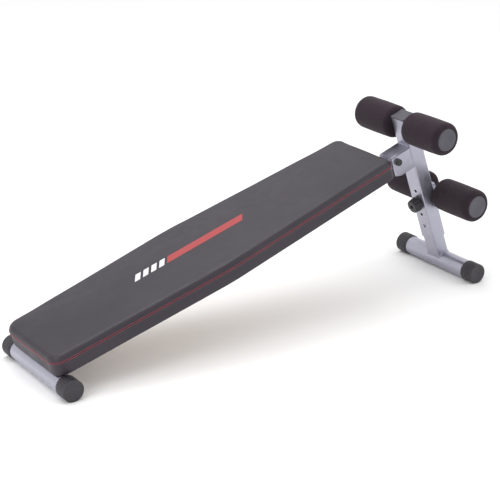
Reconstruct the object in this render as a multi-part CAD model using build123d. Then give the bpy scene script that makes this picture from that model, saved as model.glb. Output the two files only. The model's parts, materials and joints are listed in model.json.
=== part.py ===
from build123d import *
from math import asin, atan, cos, degrees, hypot, radians, sin, tan
import os

# Decline sit up bench.
# Millimetres. +X runs from the low foot to the roller end, +Y is across the
# bench and +Z is up. The origin lies on the floor under the middle of the
# bench's bounding box.

# ---------------------------------------------------------------- sizes

# Pad, measured in its own plane, from its low end to its roller end.
PAD_LENGTH = 1000.0
PAD_LOW_WIDTH = 244.0
PAD_WIDE_WIDTH = 288.0
PAD_HIGH_WIDTH = 226.0
PAD_WIDE_AT = 470.0
PAD_THICKNESS = 50.0
PAD_TOP_EDGE_RADIUS = 13.0
PAD_LOW_CORNER_RADIUS = 32.0
PAD_HIGH_CORNER_RADIUS = 24.0
PAD_WAIST_RADIUS = 600.0
PAD_TO_PIVOT = 70.0
PAD_BOTTOM_EDGE_RADIUS = 3.0
BOARD_THICKNESS = 12.0
BOARD_INSET = 4.0
BOARD_CLEARANCE = 0.2

# Plates that carry the pad, and their bolts.
PLATE_THICKNESS = 4.0
PLATE_ALONG = 40.0
PLATE_ACROSS = 130.0
PLATE_LOW_INSET = 170.0
PLATE_HIGH_INSET = 210.0
PAD_BOLT_SPACING = 90.0
PAD_BOLT_RADIUS = 3.0
PAD_BOLT_HEAD_RADIUS = 5.5
PAD_BOLT_HEAD_HEIGHT = 4.0
PAD_WASHER_RADIUS = 7.5
PAD_WASHER_THICKNESS = 1.2
PAD_BOLT_BELOW_BOARD_TOP = 1.5
T_NUT_BARREL_RADIUS = 4.5
T_NUT_FLANGE_RADIUS = 9.5
T_NUT_FLANGE_THICKNESS = 1.5
T_NUT_BARREL_LENGTH = 8.0
BOLT_CLEARANCE = 0.3
THREAD_CLEARANCE = 0.05

# Main tube under the pad.
LOW_FOOT_INSET = 12.0
BEAM_TO_EAR_GAP = 2.0
BEAM_DEPTH = 30.0
BEAM_WALL = 2.0
BEAM_CORNER_RADIUS = 3.0

# Foot cross tubes and their ribbed caps.
FOOT_RADIUS = 24.0
FOOT_WALL = 2.0
LOW_FOOT_LENGTH = 306.0
HIGH_FOOT_LENGTH = 300.0
FOOT_PAD_GAP = 2.6
CAP_WALL = 2.2
CAP_FIT = 0.05
CAP_SLEEVE_LENGTH = 38.0
CAP_END_THICKNESS = 4.0
CAP_EDGE_RADIUS = 1.8
CAP_RIB_COUNT = 26
CAP_RIB_GROOVE_RADIUS = 1.3
CAP_RIB_GROOVE_DEPTH = 0.9
CAP_RIM = 4.0
CAP_SOLE_DEPTH = 0.5

# Upright: a rectangular tube that leans out towards its foot.
UPRIGHT_LEAN = 19.1
UPRIGHT_WIDTH = 50.0
UPRIGHT_DEPTH = 40.0
UPRIGHT_WALL = 2.0
UPRIGHT_CORNER_RADIUS = 3.0
UPRIGHT_ABOVE_AXLE = 26.7
UPRIGHT_BELOW_AXLE = 340.0
PLUG_FLANGE_THICKNESS = 4.0
PLUG_DEPTH = 10.0
PLUG_WALL = 2.5
PLUG_INNER_CORNER_RADIUS = 0.5
PLUG_EDGE_SHARE = 1 / 3
PLUG_FIT = 0.1

# Adjustment holes, counted down from the uppermost.
HOLE_COUNT = 4
HOLE_PITCH = 36.7
LAST_HOLE_RISE = 39.9
HOLE_CLEARANCE = 0.5
KNOB_HOLE_INDEX = 1

# Telescoping inner leg.
INNER_LEG_EXPOSED = 49.9
INNER_LEG_CLEARANCE = 0.5
INNER_LEG_WALL = 2.0
INNER_PLUG_TO_NUT_GAP = 1.0
SLOT_SIDE_CLEARANCE = 0.8
SLOT_END_CLEARANCE = 1.5
INNER_PLUG_DEPTH = 8.0
INNER_PLUG_FLANGE = 2.0

# Pivot bracket on the front of the upright, and its bolt.
BRACKET_REACH = 62.5
BRACKET_DEPTH = 60.0
BRACKET_STOP_GAP = 0.3
BRACKET_SHEET = 3.0
BRACKET_TOE_RISE = 7.0
BRACKET_TOE_RUN = 17.0
BRACKET_BEND_RADIUS = 4.5
PIVOT_DROP = 66.5
PIVOT_FROM_UPRIGHT = 46.5
PIVOT_BOLT_RADIUS = 4.0
PIVOT_RUNNING_CLEARANCE = 0.08
SLEEVE_WALL = 3.0
SPACER_RADIUS = 11.0
SPACER_CLEARANCE = 0.1
PIVOT_WASHER_RADIUS = 8.0
PIVOT_WASHER_THICKNESS = 1.6
PIVOT_HEX_FLATS = 13.0
PIVOT_HEX_HEIGHT = 5.3
BOLT_CAP_WALL = 1.3
BOLT_CAP_FIT = 0.2

# Rollers and their axles.
AXLE_RADIUS = 12.7
AXLE_WALL = 1.5
ROLLER_RADIUS = 42.2
ROLLER_LENGTH = 130.6
ROLLER_TO_UPRIGHT_GAP = 3.0
ROLLER_EDGE_RADIUS = 9.0
ROLLER_CORE_WALL = 2.0
ROLLER_RUNNING_CLEARANCE = 0.08
LOWER_AXLE_DROP = 223.6
LOWER_AXLE_FROM_UPRIGHT = 21.7
AXLE_BRACKET_NOSE_RADIUS = 18.0
AXLE_CAP_RADIUS = 29.0
AXLE_CAP_THICKNESS = 3.0
AXLE_CAP_GAP = 0.4
AXLE_CAP_EDGE_RADIUS = 1.0
AXLE_CAP_PLUG_LENGTH = 14.0
AXLE_CAP_PLUG_WALL = 2.0
AXLE_CAP_PLUG_FIT = 0.1
AXLE_WASHER_RADIUS = 17.0
AXLE_WASHER_GAP = 0.4

# Locking knob.
KNOB_BASE_RADIUS = 20.0
KNOB_TIP_RADIUS = 17.3
KNOB_HEIGHT = 20.5
KNOB_HUB_RADIUS = 11.0
KNOB_HUB_HEIGHT = 2.0
KNOB_FLUTE_COUNT = 8
KNOB_FLUTE_RADIUS = 4.5
KNOB_FLUTE_DEPTH = 2.2
KNOB_EDGE_RADIUS = 2.0
KNOB_RECESS_RADIUS = 5.0
KNOB_RECESS_DEPTH = 5.0
KNOB_WASHER_RADIUS = 9.5
KNOB_WASHER_THICKNESS = 1.6
KNOB_WASHER_GAP = 0.1
STUD_RADIUS = 4.0
STUD_IN_KNOB = 12.0
STUD_TIP_CHAMFER = 1.0
NUT_PLATE_LENGTH = 28.0
NUT_PLATE_WIDTH = 24.0
NUT_PLATE_THICKNESS = 6.0
NUT_PLATE_GAP = 0.3
NUT_RUNNING_CLEARANCE = 0.08

# ---------------------------------------------------------------- derived

cap_radius = FOOT_RADIUS + CAP_WALL
foot_height = cap_radius - CAP_SOLE_DEPTH
plate_top = BEAM_DEPTH / 2 + PLATE_THICKNESS
pad_low_end = -(PAD_TO_PIVOT + PAD_LENGTH)
pad_bolt_reach = BOARD_THICKNESS - PAD_BOLT_BELOW_BOARD_TOP
beam_run = -pad_low_end - LOW_FOOT_INSET
foot_drop = FOOT_RADIUS + FOOT_PAD_GAP - plate_top
last_hole_drop = UPRIGHT_BELOW_AXLE - LAST_HOLE_RISE
first_hole_drop = last_hole_drop - (HOLE_COUNT - 1) * HOLE_PITCH
knob_drop = first_hole_drop + KNOB_HOLE_INDEX * HOLE_PITCH
leg_reach = UPRIGHT_BELOW_AXLE + INNER_LEG_EXPOSED + FOOT_RADIUS
upright_front = UPRIGHT_DEPTH / 2
pivot_forward = upright_front + PIVOT_FROM_UPRIGHT
lower_axle_behind = UPRIGHT_DEPTH / 2 + LOWER_AXLE_FROM_UPRIGHT
roller_inner_face = UPRIGHT_WIDTH / 2 + ROLLER_TO_UPRIGHT_GAP
roller_outer_face = roller_inner_face + ROLLER_LENGTH
ear_inner_half = UPRIGHT_WIDTH / 2 - BRACKET_SHEET
beam_half_width = ear_inner_half - BEAM_TO_EAR_GAP
inner_leg_width = UPRIGHT_WIDTH - 2 * (UPRIGHT_WALL + INNER_LEG_CLEARANCE)
inner_leg_depth = UPRIGHT_DEPTH - 2 * (UPRIGHT_WALL + INNER_LEG_CLEARANCE)
travel_up = KNOB_HOLE_INDEX * HOLE_PITCH
travel_down = (HOLE_COUNT - 1 - KNOB_HOLE_INDEX) * HOLE_PITCH
slot_half_width = STUD_RADIUS + SLOT_SIDE_CLEARANCE
slot_top_drop = knob_drop - travel_down - SLOT_END_CLEARANCE
slot_bottom_drop = knob_drop + travel_up + SLOT_END_CLEARANCE
inner_leg_top_drop = (knob_drop - travel_down - NUT_PLATE_LENGTH / 2
                      - INNER_PLUG_TO_NUT_GAP - INNER_PLUG_DEPTH)
bush_bore_radius = PIVOT_BOLT_RADIUS + PIVOT_RUNNING_CLEARANCE
sleeve_radius = bush_bore_radius + SLEEVE_WALL

# The leg's own frame has its origin on the top axle, +z up the tube and +x
# to the rear. It stands so that the high foot's soles are on the floor.
axle_height = foot_height + leg_reach * cos(radians(UPRIGHT_LEAN))
pivot_height = (axle_height - PIVOT_DROP * cos(radians(UPRIGHT_LEAN))
                - pivot_forward * sin(radians(UPRIGHT_LEAN)))

# The beam's own frame has its origin on the pivot and +x up the slope. Its
# tilt puts the low foot's soles on the floor too.
beam_tilt = degrees(asin((pivot_height - foot_height) / hypot(beam_run, foot_drop))
                    - atan(foot_drop / beam_run))
pivot_from_low_foot = (beam_run * cos(radians(beam_tilt))
                       - foot_drop * sin(radians(beam_tilt)))
axle_from_low_foot = (pivot_from_low_foot + pivot_forward * cos(radians(UPRIGHT_LEAN))
                      - PIVOT_DROP * sin(radians(UPRIGHT_LEAN)))

# The bracket's web stops on the beam's top at the end that overhangs the pivot.
bracket_front = upright_front + BRACKET_REACH
bracket_overhang = bracket_front - pivot_forward
stop_angle = radians(UPRIGHT_LEAN - beam_tilt)
stop_rise = BEAM_DEPTH / 2 / cos(stop_angle) + bracket_overhang * tan(stop_angle)
bracket_top_drop = PIVOT_DROP - stop_rise - BRACKET_STOP_GAP - BRACKET_SHEET

leg_frame = Location((axle_from_low_foot, 0, axle_height), (0, -UPRIGHT_LEAN, 0))
beam_frame = Location((pivot_from_low_foot, 0, pivot_height), (0, -beam_tilt, 0))

BIG = 400.0


# ---------------------------------------------------------------- helpers

def bar_across(radius, start, end):
    """A round bar along Y, from y=start to y=end."""
    return Pos(0, (start + end) / 2, 0) * Rot(90, 0, 0) * Cylinder(radius, end - start)


def ring_across(radius, bore, start, end):
    return bar_across(radius, start, end) - bar_across(bore, start, end)


def hex_across(flats, start, end):
    """A hexagonal bar along Y."""
    side = RegularPolygon(flats / 2, 6, major_radius=False)
    return Pos(0, start, 0) * Rot(-90, 0, 0) * extrude(side, end - start)


def bar_along(radius, start, end):
    """A round bar along X, from x=start to x=end."""
    return Pos((start + end) / 2, 0, 0) * Rot(0, 90, 0) * Cylinder(radius, end - start)


def block(x_span, y_span, z_span):
    size = [high - low for low, high in (x_span, y_span, z_span)]
    middle = [(high + low) / 2 for low, high in (x_span, y_span, z_span)]
    return Pos(*middle) * Box(*size)


def rounded_bar(depth, width, corner, bottom, top):
    """A bar along Z with a rounded rectangular section."""
    return Pos(0, 0, bottom) * extrude(RectangleRounded(depth, width, corner), top - bottom)


def rect_tube(depth, width, wall, corner, bottom, top):
    outer = rounded_bar(depth, width, corner, bottom, top)
    inner = rounded_bar(depth - 2 * wall, width - 2 * wall, corner - wall, bottom, top)
    return outer - inner


def both_sides(part):
    """The part and its mirror image in the bench's middle plane."""
    return [part, mirror(part, Plane.XZ)]


def group(parts):
    return Compound(children=[solid for part in parts for solid in part.solids()])


# ---------------------------------------------------------------- pad

def pad_outline(inset):
    """The pad's plan, from its low end at x=0, drawn in by an inset."""
    low = PAD_LOW_WIDTH / 2
    wide = PAD_WIDE_WIDTH / 2
    high = PAD_HIGH_WIDTH / 2
    right_side = [(0, -low), (PAD_WIDE_AT, -wide), (PAD_LENGTH, -high)]
    left_side = [(x, -y) for x, y in reversed(right_side)]
    face = make_face(Polyline(*right_side, *left_side, close=True))
    corners = face.vertices().sort_by(Axis.X)
    face = fillet(corners[2:4], PAD_WAIST_RADIUS)
    face = fillet(face.vertices().sort_by(Axis.X)[:2], PAD_LOW_CORNER_RADIUS)
    face = fillet(face.vertices().sort_by(Axis.X)[-2:], PAD_HIGH_CORNER_RADIUS)
    return offset(face, -inset) if inset else face


def on_pad(part):
    """Moves a part from the pad's own frame to the beam's."""
    return Pos(pad_low_end, 0, plate_top) * part


def pad_cushion():
    body = extrude(pad_outline(0), PAD_THICKNESS)
    body = fillet(body.faces().sort_by(Axis.Z)[-1].edges(), PAD_TOP_EDGE_RADIUS)
    body = fillet(body.faces().sort_by(Axis.Z)[0].edges(), PAD_BOTTOM_EDGE_RADIUS)
    pocket = extrude(pad_outline(BOARD_INSET), BOARD_THICKNESS + BOARD_CLEARANCE)
    return on_pad(body - pocket)


def pad_board():
    board = extrude(pad_outline(BOARD_INSET + BOARD_CLEARANCE), BOARD_THICKNESS)
    return on_pad(board) - bolt_holes() - t_nut_blanks()


def plate_places():
    """The beam-frame x of the middle of each pad plate."""
    return {"low": pad_low_end + PLATE_LOW_INSET,
            "high": pad_low_end + PAD_LENGTH - PLATE_HIGH_INSET}


def bolt_places():
    """The beam-frame x and y of each pad bolt."""
    return [(x, side * PAD_BOLT_SPACING / 2)
            for x in plate_places().values() for side in (-1, 1)]


def bolt_holes():
    hole = Cylinder(PAD_BOLT_RADIUS + BOLT_CLEARANCE, BIG)
    return [Pos(x, y, 0) * hole for x, y in bolt_places()]


def t_nut_blanks():
    """Solid T-nuts, flange up, flush with the board's top."""
    top = plate_top + BOARD_THICKNESS
    flange_bottom = top - T_NUT_FLANGE_THICKNESS
    barrel_bottom = flange_bottom - T_NUT_BARREL_LENGTH
    align = (Align.CENTER, Align.CENTER, Align.MIN)
    flange = Pos(0, 0, flange_bottom) * Cylinder(T_NUT_FLANGE_RADIUS, T_NUT_FLANGE_THICKNESS,
                                                 align=align)
    barrel = Pos(0, 0, barrel_bottom) * Cylinder(T_NUT_BARREL_RADIUS, T_NUT_BARREL_LENGTH,
                                                 align=align)
    return [Pos(x, y, 0) * (flange + barrel) for x, y in bolt_places()]


def pad_t_nuts():
    bore = Cylinder(PAD_BOLT_RADIUS + THREAD_CLEARANCE, BIG)
    return group([nut - Pos(x, y, 0) * bore
                  for nut, (x, y) in zip(t_nut_blanks(), bolt_places())])


def pad_bolts():
    """Each bolt with its head under the plate and its washer."""
    align = (Align.CENTER, Align.CENTER, Align.MIN)
    plate_bottom = plate_top - PLATE_THICKNESS
    washer_bottom = plate_bottom - PAD_WASHER_THICKNESS
    head_bottom = washer_bottom - PAD_BOLT_HEAD_HEIGHT
    shank = Cylinder(PAD_BOLT_RADIUS, plate_top + pad_bolt_reach - washer_bottom, align=align)
    head = extrude(RegularPolygon(PAD_BOLT_HEAD_RADIUS, 6), PAD_BOLT_HEAD_HEIGHT)
    washer = Cylinder(PAD_WASHER_RADIUS, PAD_WASHER_THICKNESS, align=align)
    washer -= Cylinder(PAD_BOLT_RADIUS + THREAD_CLEARANCE, BIG)
    bolt = Pos(0, 0, washer_bottom) * shank + Pos(0, 0, head_bottom) * head
    return group([Pos(x, y, 0) * piece for x, y in bolt_places()
                  for piece in (bolt, Pos(0, 0, washer_bottom) * washer)])


def pad_plate(end):
    x = plate_places()[end]
    plate = block((x - PLATE_ALONG / 2, x + PLATE_ALONG / 2),
                  (-PLATE_ACROSS / 2, PLATE_ACROSS / 2),
                  (plate_top - PLATE_THICKNESS, plate_top))
    return plate - bolt_holes()


# ---------------------------------------------------------------- main frame

def main_tube():
    """Coped round the low foot, with its other end rounded about the pivot."""
    half = beam_half_width
    tube = Rot(0, 90, 0) * rect_tube(BEAM_DEPTH, 2 * half, BEAM_WALL, BEAM_CORNER_RADIUS,
                                     -beam_run, BEAM_DEPTH / 2)
    nose = bar_across(BEAM_DEPTH / 2, -half, half)
    nose += block((-beam_run, 0), (-half, half), (-BEAM_DEPTH / 2, BEAM_DEPTH / 2))
    foot = Pos(-beam_run, 0, -foot_drop) * bar_across(FOOT_RADIUS, -BIG, BIG)
    return (tube & nose) - foot - bar_across(sleeve_radius, -half, half)


def main_tube_sleeve():
    return ring_across(sleeve_radius, bush_bore_radius, -beam_half_width, beam_half_width)


def foot_tube(length):
    half = length / 2 - CAP_END_THICKNESS
    return ring_across(FOOT_RADIUS, FOOT_RADIUS - FOOT_WALL, -half, half)


def foot_cap(length):
    """The ribbed cap of the -Y end, with its sole facing down."""
    end = -length / 2
    mouth = end + CAP_SLEEVE_LENGTH
    body = bar_across(cap_radius, end, mouth)
    body = fillet(body.edges().filter_by(GeomType.CIRCLE).sort_by(Axis.Y)[0], CAP_EDGE_RADIUS)
    body -= bar_across(FOOT_RADIUS + CAP_FIT, end + CAP_END_THICKNESS, mouth)
    groove_at = cap_radius + CAP_RIB_GROOVE_RADIUS - CAP_RIB_GROOVE_DEPTH
    groove = Pos(0, 0, groove_at) * bar_across(CAP_RIB_GROOVE_RADIUS, end + CAP_RIM, mouth)
    grooves = [Rot(0, (turn + 0.5) * 360 / CAP_RIB_COUNT, 0) * groove
               for turn in range(CAP_RIB_COUNT)]
    sole = block((-BIG, BIG), (-BIG, BIG), (-BIG, -cap_radius + CAP_SOLE_DEPTH))
    return body - grooves - sole


def on_low_foot(part):
    return Pos(0, 0, foot_height) * part


def on_high_foot(part):
    x = axle_from_low_foot + leg_reach * sin(radians(UPRIGHT_LEAN))
    return Pos(x, 0, foot_height) * part


# ---------------------------------------------------------------- leg

def upright_blank():
    return rounded_bar(UPRIGHT_DEPTH, UPRIGHT_WIDTH, UPRIGHT_CORNER_RADIUS,
                       -UPRIGHT_BELOW_AXLE, UPRIGHT_ABOVE_AXLE)


def upright_tube():
    tube = rect_tube(UPRIGHT_DEPTH, UPRIGHT_WIDTH, UPRIGHT_WALL, UPRIGHT_CORNER_RADIUS,
                     -UPRIGHT_BELOW_AXLE, UPRIGHT_ABOVE_AXLE)
    hole = bar_along(STUD_RADIUS + HOLE_CLEARANCE, -BIG, 0)
    holes = [Pos(0, 0, -first_hole_drop - turn * HOLE_PITCH) * hole
             for turn in range(HOLE_COUNT)]
    return tube - holes - bar_across(AXLE_RADIUS, -BIG, BIG)


def tube_plug(depth, width, wall, corner, flange, skirt):
    """A plug for a rectangular tube whose end is at z=0, standing above it."""
    inner_depth = depth - 2 * (wall + PLUG_FIT)
    inner_width = width - 2 * (wall + PLUG_FIT)
    top = rounded_bar(depth, width, corner, 0, flange)
    top = fillet(top.faces().sort_by(Axis.Z)[-1].edges(), flange * PLUG_EDGE_SHARE)
    skirt_corner = PLUG_WALL + PLUG_INNER_CORNER_RADIUS
    return top + rect_tube(inner_depth, inner_width, PLUG_WALL, skirt_corner, -skirt, 0)


def upright_plug():
    plug = tube_plug(UPRIGHT_DEPTH, UPRIGHT_WIDTH, UPRIGHT_WALL, UPRIGHT_CORNER_RADIUS,
                     PLUG_FLANGE_THICKNESS, PLUG_DEPTH)
    return Pos(0, 0, UPRIGHT_ABOVE_AXLE) * plug


def pivot_bracket():
    """An inverted U of bent sheet, welded on the upright's front face."""
    half = UPRIGHT_WIDTH / 2
    body = block((-bracket_front, -upright_front + UPRIGHT_CORNER_RADIUS), (-half, half),
                 (-bracket_top_drop - BRACKET_DEPTH, -bracket_top_drop))
    bends = body.edges().filter_by(Axis.X).group_by(Axis.Z)[-1]
    body = fillet(bends, BRACKET_BEND_RADIUS)
    toes = body.edges().filter_by(Axis.Y).group_by(Axis.Z)[0].sort_by(Axis.X)[0]
    front = body.faces().sort_by(Axis.X)[0]
    body = chamfer(toes, BRACKET_TOE_RISE, BRACKET_TOE_RUN, reference=front)
    body -= block((-BIG, BIG), (-ear_inner_half, ear_inner_half),
                  (-BIG, -bracket_top_drop - BRACKET_SHEET))
    bolt = at_pivot(bar_across(PIVOT_BOLT_RADIUS, -half, half))
    return body - upright_blank() - bolt


def at_pivot(part):
    return Pos(-pivot_forward, 0, -PIVOT_DROP) * part


def pivot_bolt():
    """Head on the -Y side, thread end on the +Y side."""
    half = UPRIGHT_WIDTH / 2
    face = half + PIVOT_WASHER_THICKNESS
    shank = bar_across(PIVOT_BOLT_RADIUS, -face, face + PIVOT_HEX_HEIGHT)
    return at_pivot(shank + hex_across(PIVOT_HEX_FLATS, -face - PIVOT_HEX_HEIGHT, -face))


def pivot_nut():
    face = UPRIGHT_WIDTH / 2 + PIVOT_WASHER_THICKNESS
    nut = hex_across(PIVOT_HEX_FLATS, face, face + PIVOT_HEX_HEIGHT)
    return at_pivot(nut - bar_across(PIVOT_BOLT_RADIUS, 0, BIG))


def pivot_washers():
    half = UPRIGHT_WIDTH / 2
    washer = ring_across(PIVOT_WASHER_RADIUS, PIVOT_BOLT_RADIUS, half,
                         half + PIVOT_WASHER_THICKNESS)
    return group([at_pivot(side) for side in both_sides(washer)])


def pivot_spacers():
    """Nylon rings between the ears and the main tube."""
    spacer = ring_across(SPACER_RADIUS, PIVOT_BOLT_RADIUS,
                         beam_half_width + SPACER_CLEARANCE, ear_inner_half)
    return group([at_pivot(side) for side in both_sides(spacer)])


def pivot_bolt_cap():
    """The black cap of the +Y side, over the nut."""
    start = UPRIGHT_WIDTH / 2 + PIVOT_WASHER_THICKNESS
    inner = PIVOT_HEX_FLATS / 2 / cos(radians(30)) + BOLT_CAP_FIT
    outer = inner + BOLT_CAP_WALL
    floor = start + PIVOT_HEX_HEIGHT + BOLT_CAP_WALL / 2
    cap = bar_across(outer, start, floor + BOLT_CAP_WALL)
    cap = fillet(cap.edges().filter_by(GeomType.CIRCLE).sort_by(Axis.Y)[-1], BOLT_CAP_WALL)
    return at_pivot(cap - bar_across(inner, start, floor))


def axle():
    end = roller_outer_face + AXLE_CAP_GAP
    return ring_across(AXLE_RADIUS, AXLE_RADIUS - AXLE_WALL, -end, end)


def on_top_axle(part):
    return Pos(0, 0, 0) * part


def on_lower_axle(part):
    return Pos(lower_axle_behind, 0, -LOWER_AXLE_DROP) * part


def lower_axle_bracket():
    """A U of bent sheet behind the upright, with a rounded nose round the axle."""
    half = UPRIGHT_WIDTH / 2
    nose = AXLE_BRACKET_NOSE_RADIUS
    body = bar_across(nose, -half, half)
    body += block((upright_front - UPRIGHT_CORNER_RADIUS - lower_axle_behind, 0), (-half, half),
                  (-nose, nose))
    web_face = upright_front + BRACKET_SHEET - lower_axle_behind
    body -= block((web_face, BIG), (-ear_inner_half, ear_inner_half), (-BIG, BIG))
    body -= bar_across(AXLE_RADIUS, -BIG, BIG)
    return on_lower_axle(body) - upright_blank()


def axle_washers():
    """Plastic rings that keep the rollers off the leg."""
    washer = ring_across(AXLE_WASHER_RADIUS, AXLE_RADIUS, UPRIGHT_WIDTH / 2,
                         roller_inner_face - AXLE_WASHER_GAP)
    return both_sides(washer)


def axle_cap():
    """The flat grey disc of the +Y end, with its plug in the axle."""
    face = roller_outer_face + AXLE_CAP_GAP
    disc = bar_across(AXLE_CAP_RADIUS, face, face + AXLE_CAP_THICKNESS)
    disc = fillet(disc.edges().filter_by(GeomType.CIRCLE).sort_by(Axis.Y)[-1],
                  AXLE_CAP_EDGE_RADIUS)
    plug = AXLE_RADIUS - AXLE_WALL - AXLE_CAP_PLUG_FIT
    return disc + ring_across(plug, plug - AXLE_CAP_PLUG_WALL, face - AXLE_CAP_PLUG_LENGTH, face)


def roller_core():
    bore = AXLE_RADIUS + ROLLER_RUNNING_CLEARANCE
    return ring_across(bore + ROLLER_CORE_WALL, bore, roller_inner_face, roller_outer_face)


def roller_foam():
    bore = AXLE_RADIUS + ROLLER_RUNNING_CLEARANCE + ROLLER_CORE_WALL
    foam = bar_across(ROLLER_RADIUS, roller_inner_face, roller_outer_face)
    foam = fillet(foam.edges().filter_by(GeomType.CIRCLE), ROLLER_EDGE_RADIUS)
    return foam - bar_across(bore, 0, BIG)


# ---------------------------------------------------------------- inner leg

def inner_leg_tube():
    """Coped onto the high foot, with a slot that runs past the knob's stud."""
    tube = rect_tube(inner_leg_depth, inner_leg_width, INNER_LEG_WALL, UPRIGHT_CORNER_RADIUS,
                     -leg_reach, -inner_leg_top_drop)
    half = slot_half_width
    slot = block((-BIG, 0), (-half, half), (-slot_bottom_drop, -slot_top_drop))
    slot += [Pos(0, 0, -drop) * bar_along(half, -BIG, 0)
             for drop in (slot_bottom_drop, slot_top_drop)]
    foot = Pos(0, 0, -leg_reach) * bar_across(FOOT_RADIUS, -BIG, BIG)
    return tube - slot - foot


def inner_leg_plug():
    slack = INNER_LEG_CLEARANCE - PLUG_FIT * 2
    depth = inner_leg_depth + 2 * slack
    width = inner_leg_width + 2 * slack
    plug = tube_plug(depth, width, INNER_LEG_WALL + slack, UPRIGHT_CORNER_RADIUS,
                     INNER_PLUG_FLANGE, INNER_PLUG_DEPTH)
    return Pos(0, 0, -inner_leg_top_drop) * plug


# ---------------------------------------------------------------- knob

knob_face = -upright_front - KNOB_WASHER_THICKNESS - KNOB_WASHER_GAP
nut_plate_front = -inner_leg_depth / 2 + INNER_LEG_WALL + NUT_PLATE_GAP


def at_knob(part):
    return Pos(0, 0, -knob_drop) * part


def lock_nut_plate():
    plate = block((nut_plate_front, nut_plate_front + NUT_PLATE_THICKNESS),
                  (-NUT_PLATE_WIDTH / 2, NUT_PLATE_WIDTH / 2),
                  (-NUT_PLATE_LENGTH / 2, NUT_PLATE_LENGTH / 2))
    return at_knob(plate - bar_along(STUD_RADIUS + NUT_RUNNING_CLEARANCE, -BIG, BIG))


def knob_washer():
    washer = bar_along(KNOB_WASHER_RADIUS, -upright_front - KNOB_WASHER_THICKNESS, -upright_front)
    return at_knob(washer - bar_along(STUD_RADIUS + BOLT_CLEARANCE, -BIG, BIG))


def knob_stud():
    end = nut_plate_front + NUT_PLATE_THICKNESS + STUD_TIP_CHAMFER
    stud = bar_along(STUD_RADIUS, knob_face - STUD_IN_KNOB, end)
    return at_knob(chamfer(stud.edges().sort_by(Axis.X)[-1], STUD_TIP_CHAMFER))


def knob_grip():
    """A tapered grip with flutes that follow its taper, and a recess in its end."""
    hub = bar_along(KNOB_HUB_RADIUS, knob_face - KNOB_HUB_HEIGHT, knob_face)
    cone = Cone(KNOB_BASE_RADIUS, KNOB_TIP_RADIUS, KNOB_HEIGHT)
    cone = fillet(cone.edges().filter_by(GeomType.CIRCLE), KNOB_EDGE_RADIUS)
    taper = degrees(atan((KNOB_BASE_RADIUS - KNOB_TIP_RADIUS) / KNOB_HEIGHT))
    middle = (KNOB_BASE_RADIUS + KNOB_TIP_RADIUS) / 2 + KNOB_FLUTE_RADIUS - KNOB_FLUTE_DEPTH
    flute = Pos(middle, 0, 0) * Rot(0, -taper, 0) * Cylinder(KNOB_FLUTE_RADIUS, 2 * KNOB_HEIGHT)
    flutes = [Rot(0, 0, turn * 360 / KNOB_FLUTE_COUNT) * flute
              for turn in range(KNOB_FLUTE_COUNT)]
    recess = Pos(0, 0, KNOB_HEIGHT / 2) * Cylinder(KNOB_RECESS_RADIUS, 2 * KNOB_RECESS_DEPTH)
    grip = cone - flutes - recess
    middle_x = knob_face - KNOB_HUB_HEIGHT - KNOB_HEIGHT / 2
    grip = hub + Pos(middle_x, 0, 0) * Rot(0, -90, 0) * grip
    return at_knob(grip) - knob_stud()


# ---------------------------------------------------------------- assembly

def make_nodes():
    """Every node, placed with the low foot's middle over x=0."""
    nodes = {}

    beam_parts = {
        "pad_cushion": pad_cushion(),
        "pad_board": pad_board(),
        "pad_t_nuts": pad_t_nuts(),
        "pad_bolts": pad_bolts(),
        "pad_plate_low": pad_plate("low"),
        "pad_plate_high": pad_plate("high"),
        "main_tube": main_tube(),
        "main_tube_sleeve": main_tube_sleeve(),
    }
    for name, part in beam_parts.items():
        nodes[name] = beam_frame * part

    feet = {"low": (on_low_foot, LOW_FOOT_LENGTH), "high": (on_high_foot, HIGH_FOOT_LENGTH)}
    for end, (place, length) in feet.items():
        right, left = both_sides(foot_cap(length))
        nodes[f"{end}_foot_tube"] = place(foot_tube(length))
        nodes[f"{end}_foot_cap_left"] = place(left)
        nodes[f"{end}_foot_cap_right"] = place(right)

    bolt_cap_left, bolt_cap_right = both_sides(pivot_bolt_cap())
    leg_parts = {
        "upright_tube": upright_tube(),
        "upright_plug": upright_plug(),
        "pivot_bracket": pivot_bracket(),
        "pivot_bolt": pivot_bolt(),
        "pivot_nut": pivot_nut(),
        "pivot_washers": pivot_washers(),
        "pivot_spacers": pivot_spacers(),
        "pivot_bolt_cap_left": bolt_cap_left,
        "pivot_bolt_cap_right": bolt_cap_right,
        "lower_axle_bracket": lower_axle_bracket(),
        "inner_leg_tube": inner_leg_tube(),
        "inner_leg_plug": inner_leg_plug(),
        "lock_nut_plate": lock_nut_plate(),
        "knob_washer": knob_washer(),
        "knob_stud": knob_stud(),
        "knob_grip": knob_grip(),
    }
    for level, place in (("top", on_top_axle), ("lower", on_lower_axle)):
        leg_parts[f"{level}_axle"] = place(axle())
        leg_parts[f"{level}_axle_washers"] = group([place(ring) for ring in axle_washers()])
        for name, part in (("axle_cap", axle_cap()), ("roller_core", roller_core()),
                           ("roller_foam", roller_foam())):
            left, right = both_sides(part)
            leg_parts[f"{name}_{level}_left"] = place(left)
            leg_parts[f"{name}_{level}_right"] = place(right)
    for name, part in leg_parts.items():
        nodes[name] = leg_frame * part
    return nodes


nodes = make_nodes()
box = group(nodes.values()).bounding_box()
to_origin = Pos(-(box.min.X + box.max.X) / 2, 0, 0)
nodes = {name: to_origin * part for name, part in nodes.items()}

os.makedirs("parts", exist_ok=True)
for name, part in nodes.items():
    export_step(part, f"parts/{name}.step")
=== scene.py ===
# %% [markdown]
# # A decline sit up bench
#
# The bench has a long vinyl pad on a painted steel tube, a leaning leg with a locking
# knob, two round feet with ribbed caps, and four foam rollers that hold the ankles.
# The working model of it, with its real sizes and joints, already exists as a frame of
# solids. This lesson dresses that frame: it keeps the hard parts that are right, gives
# them real finishes, and builds new pieces for what is soft, ribbed, sewn or welded.

import json
import math
import random

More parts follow.
